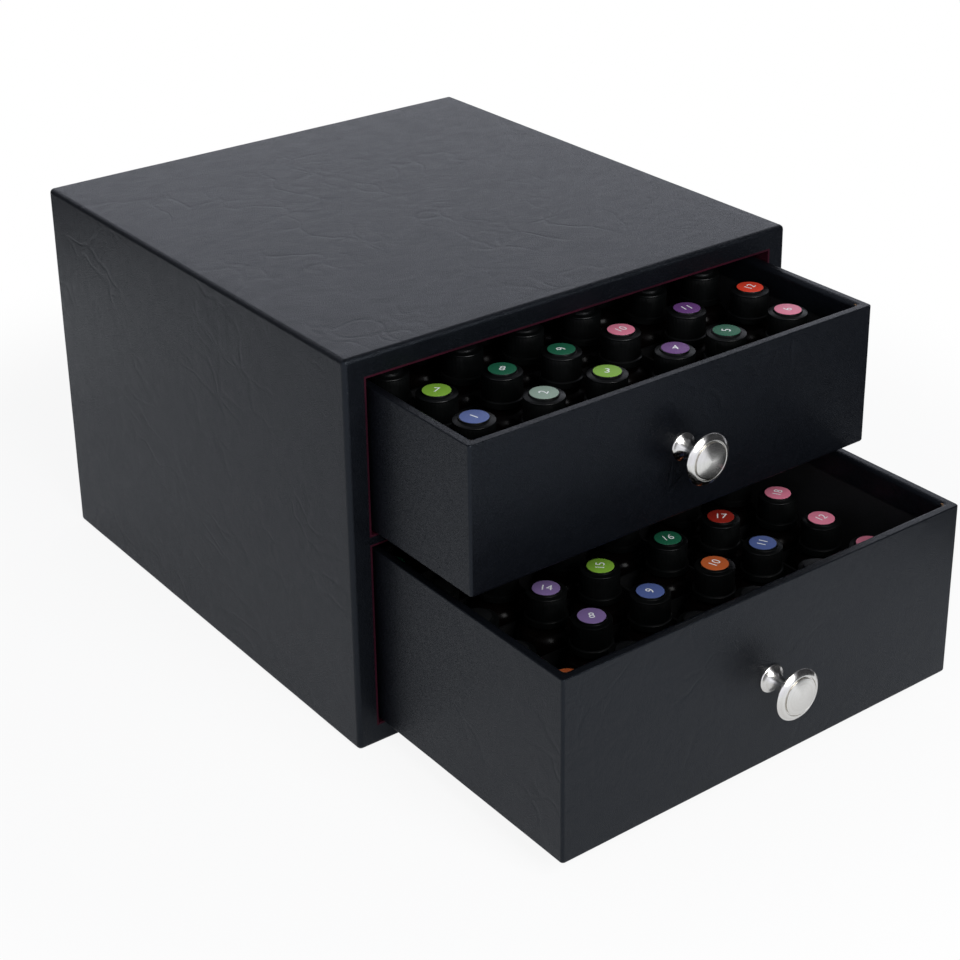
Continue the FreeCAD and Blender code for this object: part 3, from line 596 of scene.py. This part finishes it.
def make_drawer_leather(bay):
    """The skin of a drawer: outside, over the rim and a little way down inside."""
    low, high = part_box(f"{bay}_drawer_wrap")
    base_low, base_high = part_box(f"{bay}_drawer_base_sheet")
    section = [(DRAWER_WALL, high.z - TURN_IN)]
    section += arc((DRAWER_WALL - RIM_INSIDE, high.z - RIM_INSIDE), RIM_INSIDE, 0, 90, RIM_STEPS)
    section += arc((RIM_OUTSIDE, high.z - RIM_OUTSIDE), RIM_OUTSIDE, 90, 180,
                   EDGE_STEPS)
    section += arc((DRAWER_ROUNDING, low.z + DRAWER_ROUNDING), DRAWER_ROUNDING,
                   180, 270, EDGE_STEPS)
    section.append((base_low.x - low.x - SKIN, low.z))
    bm = bmesh.new()
    rings = []
    for inset, height in section:
        share = min(inset / DRAWER_WALL, 1)
        corner = DRAWER_ROUNDING + (DRAWER_CORNER - DRAWER_ROUNDING) * share
        rings.append(outline_ring(bm, low, high, inset, height, corner))
    for first, second in zip(rings, rings[1:]):
        for index, corner in enumerate(first):
            after = (index + 1) % len(first)
            bm.faces.new((corner, first[after], second[after], second[index]))
    bm.faces.new(rings[-1])
    bmesh.ops.recalc_face_normals(bm, faces=bm.faces[:])
    slice_finely(bm, low, high)
    open_up(bm, base_low, base_high)
    make_uneven(bm)
    thicken(bm, SKIN)
    piece = make_piece(f"{bay}_drawer_leather", bm, LEATHER, f"{bay}_drawer",
                       [f"{bay}_drawer_wrap"])
    shade_flats_flat(piece)


def make_drawer_paper(bay):
    """The paper inside the walls of a drawer, below the turned-in leather."""
    low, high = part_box(f"{bay}_drawer_wrap")
    floor_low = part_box(f"{bay}_drawer_floor_lining")[0]
    wall = DRAWER_WALL - SKIN
    bm = block(Vector((low.x + wall, low.y + wall, floor_low.z)),
               Vector((high.x - wall, high.y - wall, high.z - TURN_IN)))
    bmesh.ops.delete(bm, geom=[face for face in bm.faces if abs(face.normal.z) > 0.5],
                     context="FACES_ONLY")
    uprights = [edge for edge in bm.edges if abs(edge.verts[0].co.z - edge.verts[1].co.z) > NEAR]
    round_off(bm, uprights, DRAWER_CORNER + SKIN, EDGE_STEPS)
    thicken(bm, PAPER)
    piece = make_piece(f"{bay}_drawer_paper", bm, BLACK_PAPER, f"{bay}_drawer")
    shade_flats_flat(piece)


# The knobs

def turned(outline, sides):
    """A closed shape turned about Z from an outline of radius and height in millimetres."""
    bm = bmesh.new()
    points = [bm.verts.new((radius * MM, 0, height * MM)) for radius, height in outline]
    edges = [bm.edges.new(pair) for pair in zip(points, points[1:])]
    bmesh.ops.spin(bm, geom=points + edges, cent=(0, 0, 0), axis=(0, 0, 1), dvec=(0, 0, 0),
                   angle=math.tau, steps=sides, use_merge=True, use_duplicate=False)
    bmesh.ops.remove_doubles(bm, verts=bm.verts[:], dist=NEAR / 10)
    bmesh.ops.recalc_face_normals(bm, faces=bm.faces[:])
    return bm


def make_knob(bay):
    """A turned knob: foot, stem, and a head with a domed ring round a shallow cone."""
    low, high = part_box(f"{bay}_knob")
    bm = turned(KNOB_OUTLINE, KNOB_SIDES)
    foot = Matrix.Translation(((low.x + high.x) / 2, high.y, (low.z + high.z) / 2))
    bm.transform(foot @ Matrix.Rotation(math.radians(90), 4, "X"))
    make_piece(f"{bay}_turned_knob", bm, nickel_material(f"{bay} nickel", foot.translation.z),
               f"{bay}_drawer", [f"{bay}_knob"])


# Caps, stickers and numbers

def settled_mesh(name, bm):
    """A mesh from a shape that gets copied."""
    mesh = bpy.data.meshes.new(name)
    bm.to_mesh(mesh)
    bm.free()
    return mesh


def cap_shape():
    """One ribbed screw cap with its raised face and the ring under it."""
    mesh = settled_mesh("cap shape", turned(CAP_OUTLINE, CAP_SIDES))
    for vertex in mesh.vertices:
        x, y, z = vertex.co
        radius = math.hypot(x, y)
        side = round(math.atan2(y, x) / math.tau * CAP_SIDES) % SIDES_PER_RIB
        on_rib = side and RIB_BOTTOM < z < RIB_TOP and radius > RIB_ROOT - NEAR
        if on_rib:
            depth = RIB_DEPTH if z > RIB_HEAD else RIB_DEPTH * RIB_FADE
            reach = (radius + depth) / radius
            vertex.co = (x * reach, y * reach, z)
    return mesh


def sticker_shape():
    """One round sticker with a soft edge."""
    return settled_mesh("sticker shape", turned(STICKER_OUTLINE, STICKER_SIDES))


def number_shape(value):
    """A plain number, flat and centred."""
    text = bpy.data.curves.new("number", "FONT")
    text.body = str(value)
    text.size = NUMBER_HEIGHT
    text.align_x = "CENTER"
    text.align_y = "CENTER"
    text.extrude = INK_THICKNESS / 2
    text.resolution_u = 4
    holder = bpy.data.objects.new("number", text)
    bpy.context.scene.collection.objects.link(holder)
    settled = bpy.context.evaluated_depsgraph_get()
    mesh = bpy.data.meshes.new_from_object(holder.evaluated_get(settled))
    bpy.data.objects.remove(holder)
    return mesh


def add_copy(bm, mesh, place, turn):
    """A copy of a mesh added to another, turned about Z and moved. Returns its faces."""
    before = len(bm.faces)
    mesh = mesh.copy()
    mesh.transform(Matrix.Translation(place) @ Matrix.Rotation(turn, 4, "Z"))
    bm.from_mesh(mesh)
    bpy.data.meshes.remove(mesh)
    bm.faces.ensure_lookup_table()
    return bm.faces[before:]


# The "black" stickers are painted shade on the upper drawer's third row, which lies in the shade
# under the case's frame; in the lower drawer they stand on four caps of the front row and three of
# the left column.
STICKER_COLOURS = {
    "blue": colour("#516298"), "sage": colour("#899e8f"), "lime": colour("#7caa39"),
    "purple": colour("#69417c"), "lavender": colour("#7d6798"), "green": colour("#1c5d43"),
    "pink": colour("#de7f97"), "red": colour("#d9402a"), "orange": colour("#bd5d2f"),
    "wine": colour("#8c2218"), "teal": colour("#357f85"), "grey": colour("#7f8486"),
    "black": colour("#101112"),
}
STICKER_ROWS = {
    "upper": [
        ["blue", "sage", "lime", "purple", "green", "pink"],
        ["lime", "green", "green", "pink", "purple", "red"],
        # Painted shade: this third row, in the shade under the case's frame, gets black stickers.
        ["black", "black", "black", "black", "black", "black"],
        ["purple", "lime", "wine", "blue", "grey", "green"],
        ["teal", "pink", "green", "orange", "lavender", "lime"],
        ["sage", "blue", "purple", "teal", "red", "grey"],
    ],
    "lower": [
        ["orange", "black", "black", "black", "black", "pink"],
        ["black", "lavender", "blue", "orange", "blue", "pink"],
        ["black", "lavender", "lime", "green", "wine", "pink"],
        ["black", "teal", "pink", "grey", "lime", "purple"],
        ["green", "orange", "lavender", "red", "sage", "teal"],
        ["lime", "purple", "grey", "blue", "wine", "green"],
    ],
}


def make_caps(bay):
    """The caps of a drawer, each with a sticker, and a number on each sticker that is not black."""
    chance = random.Random(f"{bay} caps")
    shapes = {"cap": cap_shape(), "sticker": sticker_shape()}
    caps, stickers, numbers = bmesh.new(), bmesh.new(), bmesh.new()
    printed = stickers.loops.layers.float_color.new("printed colour")
    row_length = len(STICKER_ROWS[bay][0])
    for index, (low, high) in enumerate(islands(f"{bay}_cap_labels")):
        row, column = divmod(index, row_length)
        face = Vector(((low.x + high.x) / 2, (low.y + high.y) / 2, low.z))
        add_copy(caps, shapes["cap"], face, chance.uniform(0, math.tau))
        shift = Vector((chance.uniform(-1, 1), chance.uniform(-1, 1), 0)) * STICKER_SHIFT
        turn = chance.uniform(-1, 1) * STICKER_TURN
        printed_with = STICKER_ROWS[bay][row][column]
        for made in add_copy(stickers, shapes["sticker"], face + shift, turn):
            for loop in made.loops:
                loop[printed] = STICKER_COLOURS[printed_with]
        ink = Vector((0, 0, STICKER_THICKNESS + INK_THICKNESS / 2))
        # Black stickers get no number; on the upper third row they are painted shade.
        if printed_with != "black":
            add_copy(numbers, number_shape(index + 1), face + shift + ink, turn)
    body = f"{bay}_drawer"
    make_piece(f"{bay}_ribbed_caps", caps, CAP_PLASTIC, body, [f"{bay}_caps"])
    make_piece(f"{bay}_stickers", stickers, STICKER_PAPER, body,
               [f"{bay}_cap_labels"])
    make_piece(f"{bay}_sticker_numbers", numbers, WHITE_INK, body)


# Finishes of the solids that stay as they are

def finish_solids():
    """Each solid that shows gets the finish of its material slot."""
    finishes = {
        "fibreboard": FIBREBOARD, "leatherette": LEATHER, "wine_lining": WINE_PAPER,
        "black_paper": BLACK_PAPER, "divider_card": BLACK_CARD, "screw_steel": SCREW_STEEL,
        "dark_glass": DARK_GLASS, "plug_plastic": PLUG_PLASTIC, "cap_plastic": CAP_PLASTIC,
        "sticker_paper": STICKER_PAPER,
    }
    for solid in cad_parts.values():
        for slot in solid.material_slots:
            slot.material = finishes.get(slot.material.name, slot.material)


# Floor, light and camera

def make_floor():
    """A white floor that keeps the shadow near the box and fades to plain white.

    Smooth surfaces mirror it as a dimmer floor, and as a dark one past the box's right side.
    """
    bm = bmesh.new()
    bmesh.ops.create_circle(bm, cap_ends=True, segments=FLOOR_SIDES, radius=FLOOR_RADIUS)
    mesh = bpy.data.meshes.new("floor")
    bm.to_mesh(mesh)
    bm.free()
    floor = bpy.data.objects.new("floor", mesh)
    bpy.context.scene.collection.objects.link(floor)
    floor.location.z = -FLOOR_DROP
    made, tree, shader = new_material("white floor", Base_Color=(*[FLOOR_TONE] * 3, 1),
                                      Roughness=FLOOR_ROUGHNESS, Specular_IOR_Level=0)
    place = add(tree, "ShaderNodeTexCoord").outputs["Object"]
    away = add(tree, "ShaderNodeVectorMath", {0: place}, operation="LENGTH").outputs["Value"]
    path = add(tree, "ShaderNodeLightPath")
    mirrored = combined(tree, "MAXIMUM", path.outputs["Is Glossy Ray"],
                        path.outputs["Is Transmission Ray"])
    near = combined(tree, "MAXIMUM",
                    combined(tree, "MULTIPLY", path.outputs["Is Camera Ray"], WHITE_WHERE_SEEN),
                    combined(tree, "MULTIPLY", mirrored, WHITE_WHERE_MIRRORED))
    seen = combined(tree, "MAXIMUM", path.outputs["Is Camera Ray"], mirrored)
    fade = mapped(tree, away, SHADOW_FADES_FROM, SHADOW_FADES_TO, near, seen)
    right = add(tree, "ShaderNodeSeparateXYZ", {"Vector": place}).outputs["X"]
    dark = combined(tree, "MULTIPLY", mirrored,
                    mapped(tree, right, WHITE_ENDS, DARK_STARTS, 0, DARK_SHARE))
    fade = combined(tree, "MAXIMUM", fade, dark)
    strength = combined(tree, "SUBTRACT", 1, dark)
    tint = between(tree, mirrored, (1, 1, 1, 1), MIRRORED_TINT)
    white = add(tree, "ShaderNodeEmission", {"Color": tint, "Strength": strength})
    mix = add(tree, "ShaderNodeMixShader", {"Fac": fade})
    tree.links.new(shader.outputs["BSDF"], mix.inputs[1])
    tree.links.new(white.outputs["Emission"], mix.inputs[2])
    tree.links.new(mix.outputs["Shader"], tree.nodes["Material Output"].inputs["Surface"])
    mesh.materials.append(made)


def make_world():
    """A bright band round the studio, with a dark ceiling and two dark corners."""
    world = bpy.data.worlds.new("studio")
    bpy.context.scene.world = world
    world.use_nodes = True
    tree = world.node_tree
    tree.nodes.clear()
    way = add(tree, "ShaderNodeTexCoord").outputs["Generated"]
    corner = add(tree, "ShaderNodeVectorMath", {0: way, 1: DARK_CORNER},
                 operation="DOT_PRODUCT").outputs["Value"]
    across = add(tree, "ShaderNodeVectorMath", {0: way, 1: DIM_CORNER},
                 operation="DOT_PRODUCT").outputs["Value"]
    rise = add(tree, "ShaderNodeSeparateXYZ", {"Vector": way}).outputs["Z"]
    level = combined(tree, "MULTIPLY", mapped(tree, corner, *DARK_CORNER_CHANGE),
                     mapped(tree, rise, *CEILING_CHANGE))
    level = combined(tree, "MULTIPLY", level, mapped(tree, across, *DIM_CORNER_CHANGE))
    level = combined(tree, "MULTIPLY", level, mapped(tree, rise, *HORIZON_CHANGE))
    path = add(tree, "ShaderNodeLightPath")
    lit = add(tree, "ShaderNodeBackground", {"Color": STUDIO_TINT, "Strength": level})
    seen = add(tree, "ShaderNodeBackground", {"Color": (1, 1, 1, 1), "Strength": 1})
    mix = add(tree, "ShaderNodeMixShader", {"Fac": path.outputs["Is Camera Ray"]})
    tree.links.new(lit.outputs["Background"], mix.inputs[1])
    tree.links.new(seen.outputs["Background"], mix.inputs[2])
    end = add(tree, "ShaderNodeOutputWorld")
    tree.links.new(mix.outputs["Shader"], end.inputs["Surface"])


def make_lamp(name, place, target, side, power):
    """A square soft lamp aimed at a point."""
    lamp = bpy.data.lights.new(name, "AREA")
    lamp.shape = "SQUARE"
    lamp.size = side
    lamp.energy = power
    holder = bpy.data.objects.new(name, lamp)
    bpy.context.scene.collection.objects.link(holder)
    holder.location = place
    holder.rotation_euler = (target - place).to_track_quat("-Z", "Y").to_euler()


def make_camera():
    """The camera at the photograph's angle, with its small upward shift of the frame."""
    camera = bpy.data.cameras.new("camera")
    camera.sensor_width = SENSOR
    camera.lens = FOCAL_PIXELS / PHOTO_SIDE * SENSOR
    camera.shift_y = (MIDDLE_ROW - PHOTO_SIDE / 2) / PHOTO_SIDE
    camera.clip_start = CAMERA_NEAR
    camera.clip_end = CAMERA_FAR
    holder = bpy.data.objects.new("camera", camera)
    bpy.context.scene.collection.objects.link(holder)
    level = math.cos(CAMERA_ELEVATION)
    back = Vector((math.sin(CAMERA_AZIMUTH) * level, -math.cos(CAMERA_AZIMUTH) * level,
                   math.sin(CAMERA_ELEVATION)))
    right = Vector((0, 0, 1)).cross(back).normalized()
    up = back.cross(right)
    aim = Matrix((right, up, back)).transposed() @ Matrix.Rotation(CAMERA_ROLL, 3, "Z")
    place = Matrix.Translation(CAMERA_TARGET + back * CAMERA_DISTANCE)
    holder.matrix_world = place @ aim.to_4x4()
    bpy.context.scene.camera = holder


make_case_leather()
for bay in BAYS:
    make_drawer_leather(bay)
    make_drawer_paper(bay)
    make_knob(bay)
    make_caps(bay)
finish_solids()

make_floor()
make_world()
make_lamp("front softbox", LAMP_PLACE, LAMP_TARGET, LAMP_SIDE, LAMP_POWER)
make_camera()
bpy.context.scene.view_settings.view_transform = "Standard"
